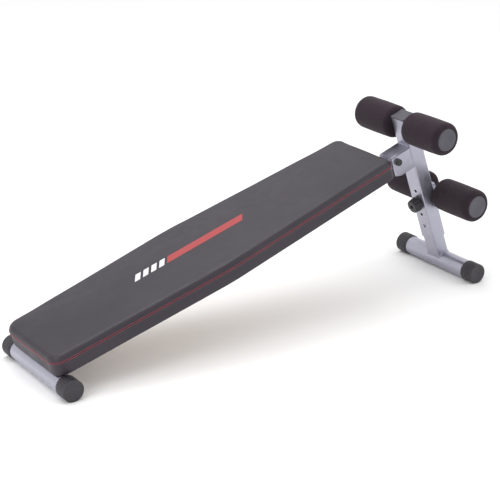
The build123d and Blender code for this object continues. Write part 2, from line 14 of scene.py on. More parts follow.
import bmesh
import bpy
from mathutils import Matrix, Vector, noise
from mathutils.bvhtree import BVHTree
from mathutils.kdtree import KDTree


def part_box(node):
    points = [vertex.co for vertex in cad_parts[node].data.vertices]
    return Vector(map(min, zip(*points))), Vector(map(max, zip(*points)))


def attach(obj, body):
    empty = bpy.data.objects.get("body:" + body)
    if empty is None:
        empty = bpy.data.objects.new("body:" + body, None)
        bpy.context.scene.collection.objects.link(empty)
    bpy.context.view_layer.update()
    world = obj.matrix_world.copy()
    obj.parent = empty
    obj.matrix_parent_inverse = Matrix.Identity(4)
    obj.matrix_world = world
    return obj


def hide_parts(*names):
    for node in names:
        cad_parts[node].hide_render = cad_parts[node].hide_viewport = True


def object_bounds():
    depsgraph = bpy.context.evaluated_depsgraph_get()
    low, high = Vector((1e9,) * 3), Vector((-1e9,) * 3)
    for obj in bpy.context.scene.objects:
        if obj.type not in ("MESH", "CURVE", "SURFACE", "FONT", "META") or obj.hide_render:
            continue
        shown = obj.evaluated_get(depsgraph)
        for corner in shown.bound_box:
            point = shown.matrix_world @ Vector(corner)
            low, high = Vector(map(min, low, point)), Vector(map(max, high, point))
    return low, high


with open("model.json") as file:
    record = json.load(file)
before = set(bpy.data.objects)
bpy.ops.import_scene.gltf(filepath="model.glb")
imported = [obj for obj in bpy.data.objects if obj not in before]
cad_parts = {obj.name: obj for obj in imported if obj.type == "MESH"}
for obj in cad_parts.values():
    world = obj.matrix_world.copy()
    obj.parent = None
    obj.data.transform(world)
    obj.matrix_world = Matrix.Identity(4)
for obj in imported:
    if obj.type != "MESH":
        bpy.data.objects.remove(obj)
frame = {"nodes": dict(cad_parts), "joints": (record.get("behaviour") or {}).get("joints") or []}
cad_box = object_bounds()
nodes = frame["nodes"]
joints = {joint["name"]: joint for joint in frame["joints"]}

# %% [markdown]
# ## Frames to work in
#
# The pad slopes and the leg leans, so almost nothing on the bench is square to the
# floor. It is far easier to shape a piece in a frame of its own, where it is straight,
# and to turn it into place as the last step. Both frames are read from the solids: the
# two plates under the pad lie on its slope, and the telescoping leg slides along itself.

# %% Frames of the pad and of the leg
MM = 0.001
ACROSS = Vector((0, 1, 0))


def middle(node):
    """The middle of a solid's box."""
    low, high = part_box(node)
    return (low + high) / 2


def frame_at(origin, along, up):
    """A matrix with its x along the first direction and its z along the second."""
    across = up.cross(along).normalized()
    matrix = Matrix((along, across, up)).transposed().to_4x4()
    matrix.translation = origin
    return matrix


def box_in(matrix, *names):
    """Lowest and highest corner of some solids, measured in another frame."""
    inverse = matrix.inverted()
    points = [inverse @ vertex.co for name in names for vertex in nodes[name].data.vertices]
    low = Vector(min(point[i] for point in points) for i in range(3))
    high = Vector(max(point[i] for point in points) for i in range(3))
    return low, high


slope = (middle("pad_plate_high") - middle("pad_plate_low")).normalized()
pad_up = slope.cross(ACROSS)
slope_frame = frame_at(Vector((0, 0, 0)), slope, pad_up)
low, high = box_in(slope_frame, "pad_cushion")
pad_frame = frame_at(slope_frame @ Vector((low.x, 0, low.z)), slope, pad_up)
pad_length, pad_width, pad_thickness = high - low

leg_up = -Vector(joints["leg_adjust"]["axis"])
leg_frame = frame_at(middle("top_axle"), ACROSS.cross(leg_up), leg_up)
print("pad", pad_length, pad_width, pad_thickness, "leg leans", leg_up)

# %% [markdown]
# ## Camera
#
# A product picture is taken from well back with a long lens, so that the far end of the
# bench isn't much smaller than the near one. The camera stands about three and a half
# metres away, a little above the bench, and looks at it from the low end.

# %% Camera
CAMERA_PLACE = Vector((-1.9755, -2.8660, 1.5275))
CAMERA_TURN = math.radians(55.6686)
CAMERA_DIP = math.radians(21.1764)
CAMERA_ROLL = math.radians(0.2993)
LENS = 110.155
SENSOR = 36.0


def make_camera():
    ahead = Vector((math.cos(CAMERA_DIP) * math.cos(CAMERA_TURN),
                    math.cos(CAMERA_DIP) * math.sin(CAMERA_TURN), -math.sin(CAMERA_DIP)))
    level_right = ahead.cross(Vector((0, 0, 1))).normalized()
    right = Matrix.Rotation(CAMERA_ROLL, 3, ahead) @ level_right
    up = right.cross(ahead)
    data = bpy.data.cameras.new("camera")
    data.lens = LENS
    data.sensor_width = SENSOR
    camera = bpy.data.objects.new("camera", data)
    bpy.context.scene.collection.objects.link(camera)
    camera.matrix_world = Matrix((right, up, -ahead)).transposed().to_4x4()
    camera.location = CAMERA_PLACE
    bpy.context.scene.camera = camera
    return camera


camera = make_camera()
print("camera at", camera.location)

# %% [markdown]
# ## Light and floor
#
# Black vinyl shows nothing of its own: what the eye reads on it is the reflection of the
# lamps. A very large soft lamp overhead lays a pale sheen on the pad's top, and a
# narrower one on each side draws the bright lines along the tubes. The floor and the
# world are nearly white, so that the bench stands on its own soft shadow.

# %% Lamps, world and floor
FLOOR_HALF = 30.0
bench_middle = (cad_box[0] + cad_box[1]) / 2


def area_lamp(name, place, aim, size, power, colour=(1, 1, 1)):
    data = bpy.data.lights.new(name, "AREA")
    data.shape = "RECTANGLE"
    data.size, data.size_y = size
    data.energy = power
    data.color = colour
    lamp = bpy.data.objects.new(name, data)
    bpy.context.scene.collection.objects.link(lamp)
    lamp.location = place
    lamp.rotation_euler = (Vector(aim) - Vector(place)).to_track_quat("-Z", "Y").to_euler()
    return lamp


def make_world():
    world = bpy.data.worlds.new("studio")
    world.use_nodes = True
    background = world.node_tree.nodes["Background"]
    background.inputs["Color"].default_value = (1.0, 1.0, 1.0, 1)
    background.inputs["Strength"].default_value = 1.0
    bpy.context.scene.world = world
    bpy.context.scene.view_settings.view_transform = "Standard"


def make_floor():
    bm = bmesh.new()
    bmesh.ops.create_grid(bm, x_segments=1, y_segments=1, size=FLOOR_HALF)
    mesh = bpy.data.meshes.new("floor")
    bm.to_mesh(mesh)
    bm.free()
    floor = bpy.data.objects.new("floor", mesh)
    bpy.context.scene.collection.objects.link(floor)
    material = bpy.data.materials.new("floor")
    material.use_nodes = True
    shader = material.node_tree.nodes["Principled BSDF"]
    shader.inputs["Base Color"].default_value = (0.93, 0.93, 0.93, 1)
    shader.inputs["Roughness"].default_value = 0.9
    shader.inputs["Specular IOR Level"].default_value = 0.1
    mesh.materials.append(material)


make_world()
make_floor()
area_lamp("overhead", (-0.3, 0.6, 2.6), bench_middle, (2.6, 1.6), 30)
area_lamp("left_window", (-2.6, -0.6, 1.6), bench_middle, (0.8, 1.6), 14)
area_lamp("right_window", (2.0, -1.8, 1.5), bench_middle, (0.7, 1.5), 9)

# %% [markdown]
# ## Materials
#
# A finish is more than a colour. Each one here starts from the same few nodes: the
# object's own coordinates, some noise that varies the colour and the roughness a little,
# and a bump for the grain. Object coordinates are in metres and stay with the piece, so
# a grain of one millimetre is the same size on every piece.

# %% Helpers for materials


def new_material(name, colour, roughness, metallic=0.0, **sockets):
    """A material with its plain values set, and its object coordinates."""
    material = bpy.data.materials.new(name)
    material.use_nodes = True
    tree = material.node_tree
    shader = tree.nodes["Principled BSDF"]
    shader.inputs["Base Color"].default_value = (*colour, 1)
    shader.inputs["Roughness"].default_value = roughness
    shader.inputs["Metallic"].default_value = metallic
    for socket, value in sockets.items():
        shader.inputs[socket.replace("_", " ")].default_value = value
    place = tree.nodes.new("ShaderNodeTexCoord").outputs["Object"]
    return material, tree, shader, place


def noise_of(tree, place, cell, detail=3.0, stretch=(1, 1, 1)):
    """Noise with features of one cell in metres, longer where stretch is over one."""
    mapping = tree.nodes.new("ShaderNodeMapping")
    mapping.inputs["Scale"].default_value = [1 / (cell * s) for s in stretch]
    tree.links.new(place, mapping.inputs["Vector"])
    texture = tree.nodes.new("ShaderNodeTexNoise")
    texture.inputs["Scale"].default_value = 1.0
    texture.inputs["Detail"].default_value = detail
    tree.links.new(mapping.outputs["Vector"], texture.inputs["Vector"])
    return texture.outputs["Fac"]


def cells_of(tree, place, cell, feature="F1"):
    """Voronoi cells of one size in metres."""
    texture = tree.nodes.new("ShaderNodeTexVoronoi")
    texture.feature = feature
    texture.inputs["Scale"].default_value = 1 / cell
    tree.links.new(place, texture.inputs["Vector"])
    return texture.outputs["Distance"]


def vary(tree, factor, socket, low, high, start=0.3, end=0.7):
    """Spreads a factor between two values and puts it in a shader's socket."""
    spread = tree.nodes.new("ShaderNodeMapRange")
    spread.inputs["From Min"].default_value = start
    spread.inputs["From Max"].default_value = end
    spread.inputs["To Min"].default_value = low
    spread.inputs["To Max"].default_value = high
    tree.links.new(factor, spread.inputs["Value"])
    tree.links.new(spread.outputs["Result"], socket)


def tint(tree, shader, factor, first, second, start=0.3, end=0.7):
    """Colours the shader between two tones."""
    ramp = tree.nodes.new("ShaderNodeValToRGB")
    ramp.color_ramp.elements[0].position = start
    ramp.color_ramp.elements[0].color = (*first, 1)
    ramp.color_ramp.elements[1].position = end
    ramp.color_ramp.elements[1].color = (*second, 1)
    tree.links.new(factor, ramp.inputs["Fac"])
    tree.links.new(ramp.outputs["Color"], shader.inputs["Base Color"])


def bump(tree, shader, height, distance, strength=1.0, invert=False):
    """Adds a relief of that depth in metres, over any relief already there."""
    node = tree.nodes.new("ShaderNodeBump")
    node.inputs["Distance"].default_value = distance
    node.inputs["Strength"].default_value = strength
    node.invert = invert
    tree.links.new(height, node.inputs["Height"])
    before = shader.inputs["Normal"]
    if before.is_linked:
        tree.links.new(before.links[0].from_socket, node.inputs["Normal"])
    tree.links.new(node.outputs["Normal"], before)


# %% [markdown]
# ### Vinyl
#
# Upholstery vinyl is a plastic skin pressed with a leather grain. It is close to black,
# with a faint plum tone, and satin rather than shiny. The grain is a mesh of small cells
# with soft creases between them, so the bump comes from cells for the pebbles and from
# noise for the unevenness that a press leaves.

# %% Vinyl


def make_vinyl():
    material, tree, shader, place = new_material(
        "grained_vinyl", (0.019, 0.014, 0.023), 0.42, Specular_IOR_Level=0.45)
    cloudy = noise_of(tree, place, 0.12, detail=2.0)
    tint(tree, shader, cloudy, (0.016, 0.012, 0.02), (0.024, 0.018, 0.028))
    rubbed = noise_of(tree, place, 0.03, detail=4.0)
    vary(tree, rubbed, shader.inputs["Roughness"], 0.38, 0.48)
    pebbles = cells_of(tree, place, 0.0016, "SMOOTH_F1")
    bump(tree, shader, pebbles, 0.00016, 0.55, invert=True)
    creases = noise_of(tree, place, 0.0007, detail=2.0)
    bump(tree, shader, creases, 0.00006, 0.5)
    return material


vinyl = make_vinyl()
print(vinyl.name)

# %% [markdown]
# ### Foam
#
# The rollers are closed-cell rubber foam with its skin sanded off. It scatters light from
# thousands of tiny pits, so it is very matt, with a soft sheen where it turns away, and
# it looks slightly brown rather than blue.

# %% Foam


def make_foam():
    material, tree, shader, place = new_material(
        "sanded_foam", (0.015, 0.009, 0.014), 0.92, Specular_IOR_Level=0.2,
        Sheen_Weight=0.12, Sheen_Roughness=0.6)
    shader.inputs["Sheen Tint"].default_value = (0.75, 0.62, 0.68, 1)
    patches = noise_of(tree, place, 0.014, detail=4.0)
    tint(tree, shader, patches, (0.012, 0.007, 0.011), (0.022, 0.014, 0.02))
    vary(tree, patches, shader.inputs["Roughness"], 0.86, 0.97)
    pits = cells_of(tree, place, 0.0012)
    bump(tree, shader, pits, 0.0004, 0.8)
    lumps = noise_of(tree, place, 0.004, detail=3.0)
    bump(tree, shader, lumps, 0.0004, 0.5)
    return material


foam = make_foam()
print(foam.name)

# %% [markdown]
# ### Silver paint
#
# The steel tubes are powder coated in a metallic silver. Tiny flakes lie in the coat, so
# its shine is broad and grainy, and the coat itself has the faint ripple of orange peel.
# Over the flakes is a clear skin with a sharper shine, which is the shader's coat layer.

# %% Silver paint


def make_silver():
    material, tree, shader, place = new_material(
        "metallic_silver_coat", (0.38, 0.375, 0.45), 0.36, metallic=0.85,
        Coat_Weight=0.35, Coat_Roughness=0.16)
    flakes = noise_of(tree, place, 0.0009, detail=2.0)
    tint(tree, shader, flakes, (0.32, 0.315, 0.385), (0.46, 0.455, 0.535))
    broad = noise_of(tree, place, 0.03, detail=3.0)
    vary(tree, broad, shader.inputs["Roughness"], 0.28, 0.42)
    bump(tree, shader, flakes, 0.00003, 0.35)
    peel = noise_of(tree, place, 0.005, detail=1.0)
    bump(tree, shader, peel, 0.00005, 0.35)
    return material


silver = make_silver()
print(silver.name)

# %% [markdown]
# ### Plastics, steel, nylon, plywood and thread
#
# The caps and the knob are moulded plastic: a spark-eroded mould leaves an even, very
# fine roughness on them. Zinc plate is a pale metal with a cloudy shine. Plywood shows
# long grain on its face. The seam thread is twisted, so its relief runs across it.

# %% The other finishes


def make_moulded(name, colour, roughness):
    material, tree, shader, place = new_material(name, colour, roughness)
    marks = noise_of(tree, place, 0.02, detail=4.0)
    lighter = [channel * 1.35 + 0.003 for channel in colour]
    tint(tree, shader, marks, colour, lighter)
    vary(tree, marks, shader.inputs["Roughness"], roughness - 0.06, roughness + 0.08)
    grit = noise_of(tree, place, 0.0005, detail=2.0)
    bump(tree, shader, grit, 0.00005, 0.5)
    return material


def make_zinc():
    material, tree, shader, place = new_material("zinc_plate", (0.62, 0.62, 0.6), 0.35, 1.0)
    clouds = noise_of(tree, place, 0.006, detail=5.0)
    tint(tree, shader, clouds, (0.52, 0.52, 0.49), (0.7, 0.7, 0.69))
    vary(tree, clouds, shader.inputs["Roughness"], 0.28, 0.5)
    scratches = noise_of(tree, place, 0.0006, detail=2.0, stretch=(1, 1, 6))
    bump(tree, shader, scratches, 0.00003, 0.4)
    return material


def make_nylon():
    material, tree, shader, place = new_material(
        "natural_nylon", (0.7, 0.69, 0.64), 0.5, Subsurface_Weight=0.05)
    marks = noise_of(tree, place, 0.004, detail=3.0)
    tint(tree, shader, marks, (0.66, 0.65, 0.6), (0.76, 0.75, 0.7))
    vary(tree, marks, shader.inputs["Roughness"], 0.42, 0.58)
    bump(tree, shader, marks, 0.00005, 0.3)
    return material


def make_plywood():
    material, tree, shader, place = new_material("birch_plywood", (0.45, 0.3, 0.17), 0.75)
    grain = noise_of(tree, place, 0.003, detail=5.0, stretch=(14, 1, 1))
    tint(tree, shader, grain, (0.34, 0.21, 0.11), (0.55, 0.39, 0.23), 0.35, 0.65)
    vary(tree, grain, shader.inputs["Roughness"], 0.65, 0.85)
    bump(tree, shader, grain, 0.0002, 0.5)
    return material


def make_thread():
    material, tree, shader, place = new_material(
        "seam_thread", (0.42, 0.03, 0.055), 0.55, Sheen_Weight=0.3)
    twist = noise_of(tree, place, 0.0004, detail=2.0)
    tint(tree, shader, twist, (0.3, 0.02, 0.04), (0.5, 0.045, 0.075))
    vary(tree, twist, shader.inputs["Roughness"], 0.48, 0.68)
    bump(tree, shader, twist, 0.0001, 0.7)
    return material


def make_ink(name, colour):
    material, tree, shader, place = new_material(name, colour, 0.4)
    worn = noise_of(tree, place, 0.0025, detail=5.0)
    faded = [channel * 0.82 for channel in colour]
    tint(tree, shader, worn, faded, colour, 0.3, 0.5)
    vary(tree, worn, shader.inputs["Roughness"], 0.36, 0.5)
    pebbles = cells_of(tree, place, 0.0016, "SMOOTH_F1")
    bump(tree, shader, pebbles, 0.00012, 0.5, invert=True)
    return material


black_plastic = make_moulded("moulded_black", (0.02, 0.017, 0.022), 0.48)
grey_plastic = make_moulded("moulded_grey", (0.05, 0.046, 0.06), 0.4)
zinc = make_zinc()
nylon = make_nylon()
plywood = make_plywood()
thread = make_thread()
white_ink = make_ink("white_ink", (0.72, 0.7, 0.72))
red_ink = make_ink("red_ink", (0.36, 0.03, 0.035))
print("finishes", len(bpy.data.materials))

# %% [markdown]
# ## Finishes on the solids that stay
#
# Every solid names its finish, so one table is enough to give each its new material.
# The shapes aren't touched: only the material in each slot is exchanged.

# %% Give each solid its finish
finishes = {"pad_vinyl": vinyl, "roller_foam_black": foam, "silver_paint": silver,
            "black_plastic": black_plastic, "grey_plastic": grey_plastic, "nylon": nylon,
            "zinc_steel": zinc, "plywood": plywood}
for node in nodes.values():
    for place in node.material_slots:
        place.material = finishes[place.material.name.split(".")[0]]
print("finished", len(nodes), "solids")

# %% [markdown]
# ## Making a piece
#
# Each new piece is shaped as a bmesh in a frame of its own. One function then turns it
# into place, makes the mesh, shades it smooth except over sharp edges, and says which
# body it rides on and which finish it has.

# %% Helpers for pieces
SHARP = math.radians(38)


def make_piece(name, bm, material, body, into=Matrix(), sharp=SHARP):
    bmesh.ops.transform(bm, matrix=into, verts=bm.verts)
    mesh = bpy.data.meshes.new(name)
    bm.to_mesh(mesh)
    bm.free()
    mesh.polygons.foreach_set("use_smooth", [True] * len(mesh.polygons))
    if sharp:
        mesh.set_sharp_from_angle(angle=sharp)
    mesh.materials.append(material)
    piece = bpy.data.objects.new(name, mesh)
    bpy.context.scene.collection.objects.link(piece)
    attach(piece, body)
    print("piece", name, "faces", len(mesh.polygons))
    return piece


def clean(bm, distance=1e-6):
    """Merges what meets and turns every face outwards."""
    bmesh.ops.remove_doubles(bm, verts=bm.verts, dist=distance)
    bmesh.ops.recalc_face_normals(bm, faces=bm.faces)


def spun(profile, steps, closed=False):
    """A shape turned about Y from (radius, y) points."""
    bm = bmesh.new()
    points = [bm.verts.new((radius, y, 0)) for radius, y in profile]
    pairs = list(zip(points, points[1:]))
    if closed:
        pairs.append((points[-1], points[0]))
    edges = [bm.edges.new(pair) for pair in pairs]
    bmesh.ops.spin(bm, geom=points + edges, cent=(0, 0, 0), axis=ACROSS,
                   angle=math.tau, steps=steps, use_merge=True)
    clean(bm)
    return bm


def mirrored(bm):
    """The same shape on the other side of the bench."""
    bmesh.ops.scale(bm, vec=(1, -1, 1), verts=bm.verts)
    bmesh.ops.recalc_face_normals(bm, faces=bm.faces)
    return bm


def walk(points, step, closed=False):
    """Places and directions at equal steps along a line of points."""
    line = list(points) + ([points[0]] if closed else [])
    lengths = [(b - a).length for a, b in zip(line, line[1:])]
    count = max(1, round(sum(lengths) / step))
    pace = sum(lengths) / count
    found, span, gone = [], 0, 0.0
    for turn in range(count):
        want = (turn + 0.5) * pace
        while gone + lengths[span] < want and span < len(lengths) - 1:
            gone += lengths[span]
            span += 1
        share = (want - gone) / lengths[span]
        ahead = (line[span + 1] - line[span]).normalized()
        found.append((line[span].lerp(line[span + 1], share), ahead))
    return found


# %% [markdown]
# ## The pad's stuffing
#
# The foam in the pad pushes its cover out, most in the middle of the top and least at
# the board below. Cloth with a little pressure finds that shape by itself. The solid pad
# is convex, so a convex hull of its points is its outside with the board's pocket
# filled. The hull is remeshed into even cells, its foot is pinned where the board holds
# it, and the pressure swells the rest.

# %% Swell the stuffing
CELL = 7.0 * MM
SWELL_LIMIT = 5.0 * MM
SWELL_PRESSURE = 4.0
SWELL_FRAMES = 20
BOARD_GRIP = 15.0 * MM


def stuffing_form():
    """The closed outside of the solid pad, in the pad's frame."""
    bm = bmesh.new()
    bm.from_mesh(nodes["pad_cushion"].data)
    bmesh.ops.remove_doubles(bm, verts=bm.verts, dist=1e-6)
    bmesh.ops.transform(bm, matrix=pad_frame.inverted(), verts=bm.verts)
    hull = bmesh.ops.convex_hull(bm, input=bm.verts)
    spare = {e for e in hull["geom_interior"] + hull["geom_unused"]
             if isinstance(e, bmesh.types.BMVert)}
    bmesh.ops.delete(bm, geom=list(spare), context="VERTS")
    faces = {f for f in hull["geom"] if isinstance(f, bmesh.types.BMFace)}
    bmesh.ops.delete(bm, geom=[f for f in bm.faces if f not in faces], context="FACES_ONLY")
    mesh = bpy.data.meshes.new("stuffing")
    bm.to_mesh(mesh)
    bm.free()
    form = bpy.data.objects.new("stuffing", mesh)
    bpy.context.scene.collection.objects.link(form)
    return form


def apply_modifiers(piece):
    """The mesh as its modifiers leave it."""
    evaluated = piece.evaluated_get(bpy.context.evaluated_depsgraph_get())
    return bpy.data.meshes.new_from_object(evaluated)


def swell_stuffing():
    """Returns where the stuffing's points were, and how far each was pushed."""
    form = stuffing_form()
    remesh = form.modifiers.new("even", "REMESH")
    remesh.mode = "VOXEL"
    remesh.voxel_size = CELL
    even = apply_modifiers(form)
    form.modifiers.clear()
    form.data = even
    rest = [vertex.co.copy() for vertex in even.vertices]
    held = form.vertex_groups.new(name="board")
    held.add([i for i, point in enumerate(rest) if point.z < BOARD_GRIP], 1.0, "REPLACE")
    cloth = form.modifiers.new("cloth", "CLOTH")
    cloth.settings.use_pressure = True
    cloth.settings.uniform_pressure_force = SWELL_PRESSURE
    cloth.settings.vertex_group_mass = "board"
    cloth.settings.effector_weights.gravity = 0
    cloth.point_cache.frame_start = 1
    cloth.point_cache.frame_end = SWELL_FRAMES
    for step in range(1, SWELL_FRAMES + 1):
        bpy.context.scene.frame_set(step)
    swollen = apply_modifiers(form)
    pushed = [vertex.co - start for vertex, start in zip(swollen.vertices, rest)]
    share = min(1.0, SWELL_LIMIT / max(move.length for move in pushed))
    pushed = [move * share for move in pushed]
    form.modifiers.clear()
    bpy.data.objects.remove(form)
    bpy.context.scene.frame_set(1)
    return rest, pushed


stuffing_rest, stuffing_push = swell_stuffing()
print("stuffing", len(stuffing_rest), "points, most pushed by",
      max(move.length for move in stuffing_push))

# %% [markdown]
# ## The pad's cover
#
# The cover is a top panel sewn to a band that goes round the sides and folds in under
# the board. A remeshed lump has no edges along a seam, so the cover is made anew with
# clean rings: a grid for the top, shaped to the plan, whose border is extruded ring by
# ring over the rolled edge, down through the seam and the band, and in under the board.
# The stuffing's swelling is then carried over to it from the nearest points.

# %% The plan of the pad
ROLL = 13.0 * MM
SEAM_DEPTH = 15.7 * MM
TOP_COLUMNS = 132
TOP_ROWS = 42
CORNER_COLUMNS = 8
HAIR = 0.02 * MM
STRAIGHT_START = 0.1
STRAIGHT_STEP = 0.1
seam_height = pad_thickness - SEAM_DEPTH


def half_width_finder():
    """A function that gives the pad's half width at any place along it."""
    bm = bmesh.new()
    form = stuffing_form()
    bm.from_mesh(form.data)
    tree = BVHTree.FromBMesh(bm)
    bm.free()
    bpy.data.objects.remove(form)

    def half_width(x):
        start = Vector((x, 0, pad_thickness / 2))
        hit = tree.ray_cast(start, Vector((0, 1, 0)))[0]
        return hit.y if hit else 0.0

    return half_width


half_width = half_width_finder()


def corner_reach(end):
    """How far a rounded corner reaches along the pad.

    The straight side is carried on to the pad's end, and the width missing there is the
    corner's radius, but for the little that the arc turns within a hair of the end.
    """
    places = (HAIR, STRAIGHT_START, STRAIGHT_START + STRAIGHT_STEP)
    if end == "high":
        places = [pad_length - place for place in places]
    at_end, first, second = [half_width(place) for place in places]
    short = 2 * first - second - at_end
    return short + math.sqrt(2 * short * HAIR)


def plan_columns():
    """(x, half width) of each column of the top panel, from the low end up."""
    turns = [i / CORNER_COLUMNS * math.pi / 2 for i in range(CORNER_COLUMNS + 1)]
    start = [corner_reach("low") * (1 - math.cos(turn)) for turn in turns]
    stop = [pad_length - corner_reach("high") * (1 - math.cos(turn)) for turn in reversed(turns)]
    between = TOP_COLUMNS - 2 * CORNER_COLUMNS
    pace = (stop[0] - start[-1]) / between
    straight = [start[-1] + pace * i for i in range(1, between)]
    return [(x, half_width(min(max(x, HAIR), pad_length - HAIR)))
            for x in start + straight + stop]


columns = plan_columns()
print("corners", corner_reach("low"), corner_reach("high"), "columns", len(columns))

# %% [markdown]
# Every ring of the cover is the plan moved out or in by some distance, at some height.
# So the cross-section of the edge can be written as a short list of such pairs, from
# the top panel's border to the fold under the board: the roll is a quarter circle, the
# seam is a sharp dip with a raised lip over it, and the band is straight.

# %% The edge's cross-section
LIP = 0.75 * MM
SEAM_DIP = 1.7 * MM
BAND_STEPS = 5
FOOT_ROLL = 3.0 * MM
HEM_WIDTH = 22.0 * MM
HEM_DROP = 0.35 * MM
POCKET_INSET = 4.1 * MM
POCKET_HEIGHT = 12.2 * MM
STITCH_OFFSET = 2.1 * MM


def edge_section():
    """(outward offset, height) of each ring below the top panel's border."""
    roll = [(ROLL * (math.sin(math.radians(turn)) - 1),
             pad_thickness - ROLL * (1 - math.cos(math.radians(turn))))
            for turn in (12, 24, 36, 48, 60, 72, 82)]
    seam = [(LIP * 0.6, seam_height + STITCH_OFFSET * 1.7),
            (LIP, seam_height + STITCH_OFFSET),
            (LIP * 0.5, seam_height + STITCH_OFFSET * 0.4),
            (-SEAM_DIP * 0.5, seam_height + STITCH_OFFSET * 0.12),
            (-SEAM_DIP, seam_height),
            (-SEAM_DIP * 0.5, seam_height - STITCH_OFFSET * 0.15),
            (0, seam_height - STITCH_OFFSET * 0.5),
            (LIP * 0.35, seam_height - STITCH_OFFSET),
            (0, seam_height - STITCH_OFFSET * 2)]
    band_top = seam_height - STITCH_OFFSET * 3
    band = [(0, band_top + (FOOT_ROLL - band_top) * step / BAND_STEPS)
            for step in range(BAND_STEPS + 1)]
    fold = [(FOOT_ROLL * (math.cos(math.radians(turn)) - 1),
             FOOT_ROLL * (1 - math.sin(math.radians(turn)))) for turn in (30, 60)]
    hem = [(-FOOT_ROLL, -HEM_DROP), (-HEM_WIDTH * 0.6, -HEM_DROP), (-HEM_WIDTH, -HEM_DROP),
           (-HEM_WIDTH, 0), (-HEM_WIDTH * 0.6, 0), (-POCKET_INSET, 0),
           (-POCKET_INSET, POCKET_HEIGHT)]
    return roll + seam + band + fold + hem


print("rings", len(edge_section()))

# %% The cover's rings


def in_order(panel):
    """The border's points of a panel, one after another round the pad."""
    border = list({edge for vertex in panel for edge in vertex.link_edges if edge.is_boundary})
    ring = [border[0].verts[0], border[0].verts[1]]
    links = {}
    for edge in border:
        for vertex in edge.verts:
            links.setdefault(vertex, []).append(edge.other_vert(vertex))
    while True:
        onward = [v for v in links[ring[-1]] if v is not ring[-2]][0]
        if onward is ring[0]:
            return ring
        ring.append(onward)


def flat_panel(bm, inset, height):
    """A grid shaped to the plan. Returns its border in order, and the plan's point and
    outward way at each point of the border."""
    panel = bmesh.ops.create_grid(bm, x_segments=TOP_COLUMNS, y_segments=TOP_ROWS,
                                  size=1)["verts"]
    place = {}
    for vertex in panel:
        column = round((vertex.co.x + 1) / 2 * TOP_COLUMNS)
        place[vertex] = (column, vertex.co.y)
        x, half = columns[column]
        vertex.co = (x, half * vertex.co.y, height)
    ring = in_order(panel)
    plan = [vertex.co.to_2d() for vertex in ring]
    outward = []
    for i, point in enumerate(plan):
        along = plan[(i + 1) % len(plan)] - plan[i - 1]
        way = Vector((along.y, -along.x)).normalized()
        outward.append(way if way.dot(point - Vector((pad_length / 2, 0))) > 0 else -way)
    for vertex, point, way in zip(ring, plan, outward):
        vertex.co = (*(point - way * inset), height)
    edge_of = {place[v][0]: v.co.copy() for v in ring if abs(place[v][1]) == 1}
    for vertex in panel:
        column, share = place[vertex]
        border = edge_of[column]
        vertex.co = (border.x, abs(border.y) * share, height)
    return ring, plan, outward


def add_ring(bm, ring, plan, outward, offset, height):
    """Extrudes a border ring and sets the new one at an offset from the plan."""
    edges = [bm.edges.get((a, b)) for a, b in zip(ring, ring[1:] + ring[:1])]
    grown = bmesh.ops.extrude_edge_only(bm, edges=edges)["geom"]
    fresh = {v for v in grown if isinstance(v, bmesh.types.BMVert)}
    following = []
    for vertex, point, way in zip(ring, plan, outward):
        partner = [e.other_vert(vertex) for e in vertex.link_edges
                   if e.other_vert(vertex) in fresh][0]
        partner.co = (*(point + way * offset), height)
        following.append(partner)
    return following


def swelling_at():
    """A function that gives the stuffing's push at a point, eased over its neighbours."""
    tree = KDTree(len(stuffing_rest))
    for i, point in enumerate(stuffing_rest):
        tree.insert(point, i)
    tree.balance()

    def push(point):
        near = tree.find_n(point, 10)
        weights = [1 / (distance + CELL / 2) for _, _, distance in near]
        total = sum((stuffing_push[i] * w for (_, i, _), w in zip(near, weights)),
                    Vector((0, 0, 0)))
        return total / sum(weights)

    return push


swelling = swelling_at()
print("swelling at the top's middle", swelling(Vector((pad_length / 2, 0, pad_thickness))))

# %% [markdown]
# The seam holds the cover down, so the swelling fades towards it. Thread pulled tight
# also gathers the vinyl into small puckers, a few centimetres long, that die out within
# a finger's breadth of the seam. Smooth noise along the edge gives them uneven lengths.

# %% Sew the cover
SEAM_HOLD = 7.0 * MM
PUCKER = 0.4 * MM
PUCKER_LENGTH = 21.0 * MM
PUCKER_REACH = 9.0 * MM
SAG = 0.5 * MM
SAG_LENGTH = 170.0 * MM
SAG_SQUASH = 0.3
HELD_SHARE = 0.85


def seam_hold(height):
    """One at the seam, falling to nothing above and below it."""
    return math.exp(-((height - seam_height) / SEAM_HOLD) ** 2)


def sewn_cover():
    bm = bmesh.new()
    ring, plan, outward = flat_panel(bm, ROLL, pad_thickness)
    rings = {}
    for offset, height in edge_section():
        ring = add_ring(bm, ring, plan, outward, offset, height)
        rings[round(height / MM, 2)] = ring
    pocket_floor, _, _ = flat_panel(bm, POCKET_INSET, POCKET_HEIGHT)
    bmesh.ops.remove_doubles(bm, verts=ring + pocket_floor, dist=1e-5)
    print("open edges", sum(edge.is_boundary for edge in bm.edges))
    bmesh.ops.recalc_face_normals(bm, faces=bm.faces)
    bm.normal_update()
    moves = {}
    for vertex in bm.verts:
        point = vertex.co
        if point.z < BOARD_GRIP:
            continue
        move = swelling(point) * (1 - HELD_SHARE * seam_hold(point.z))
        reach = math.exp(-((point.z - seam_height) / PUCKER_REACH) ** 2)
        ripple = noise.noise(Vector((point.x, point.y, 0)) / PUCKER_LENGTH)
        move = move + vertex.normal * ripple * PUCKER * reach
        sag = noise.noise(Vector((point.x, point.y, point.z * SAG_SQUASH)) / SAG_LENGTH)
        moves[vertex] = move + vertex.normal * sag * SAG
    for vertex, move in moves.items():
        vertex.co += move
    upper = [v.co.copy() for v in rings[round((seam_height + STITCH_OFFSET) / MM, 2)]]
    lower = [v.co.copy() for v in rings[round((seam_height - STITCH_OFFSET) / MM, 2)]]
    return bm, upper, lower


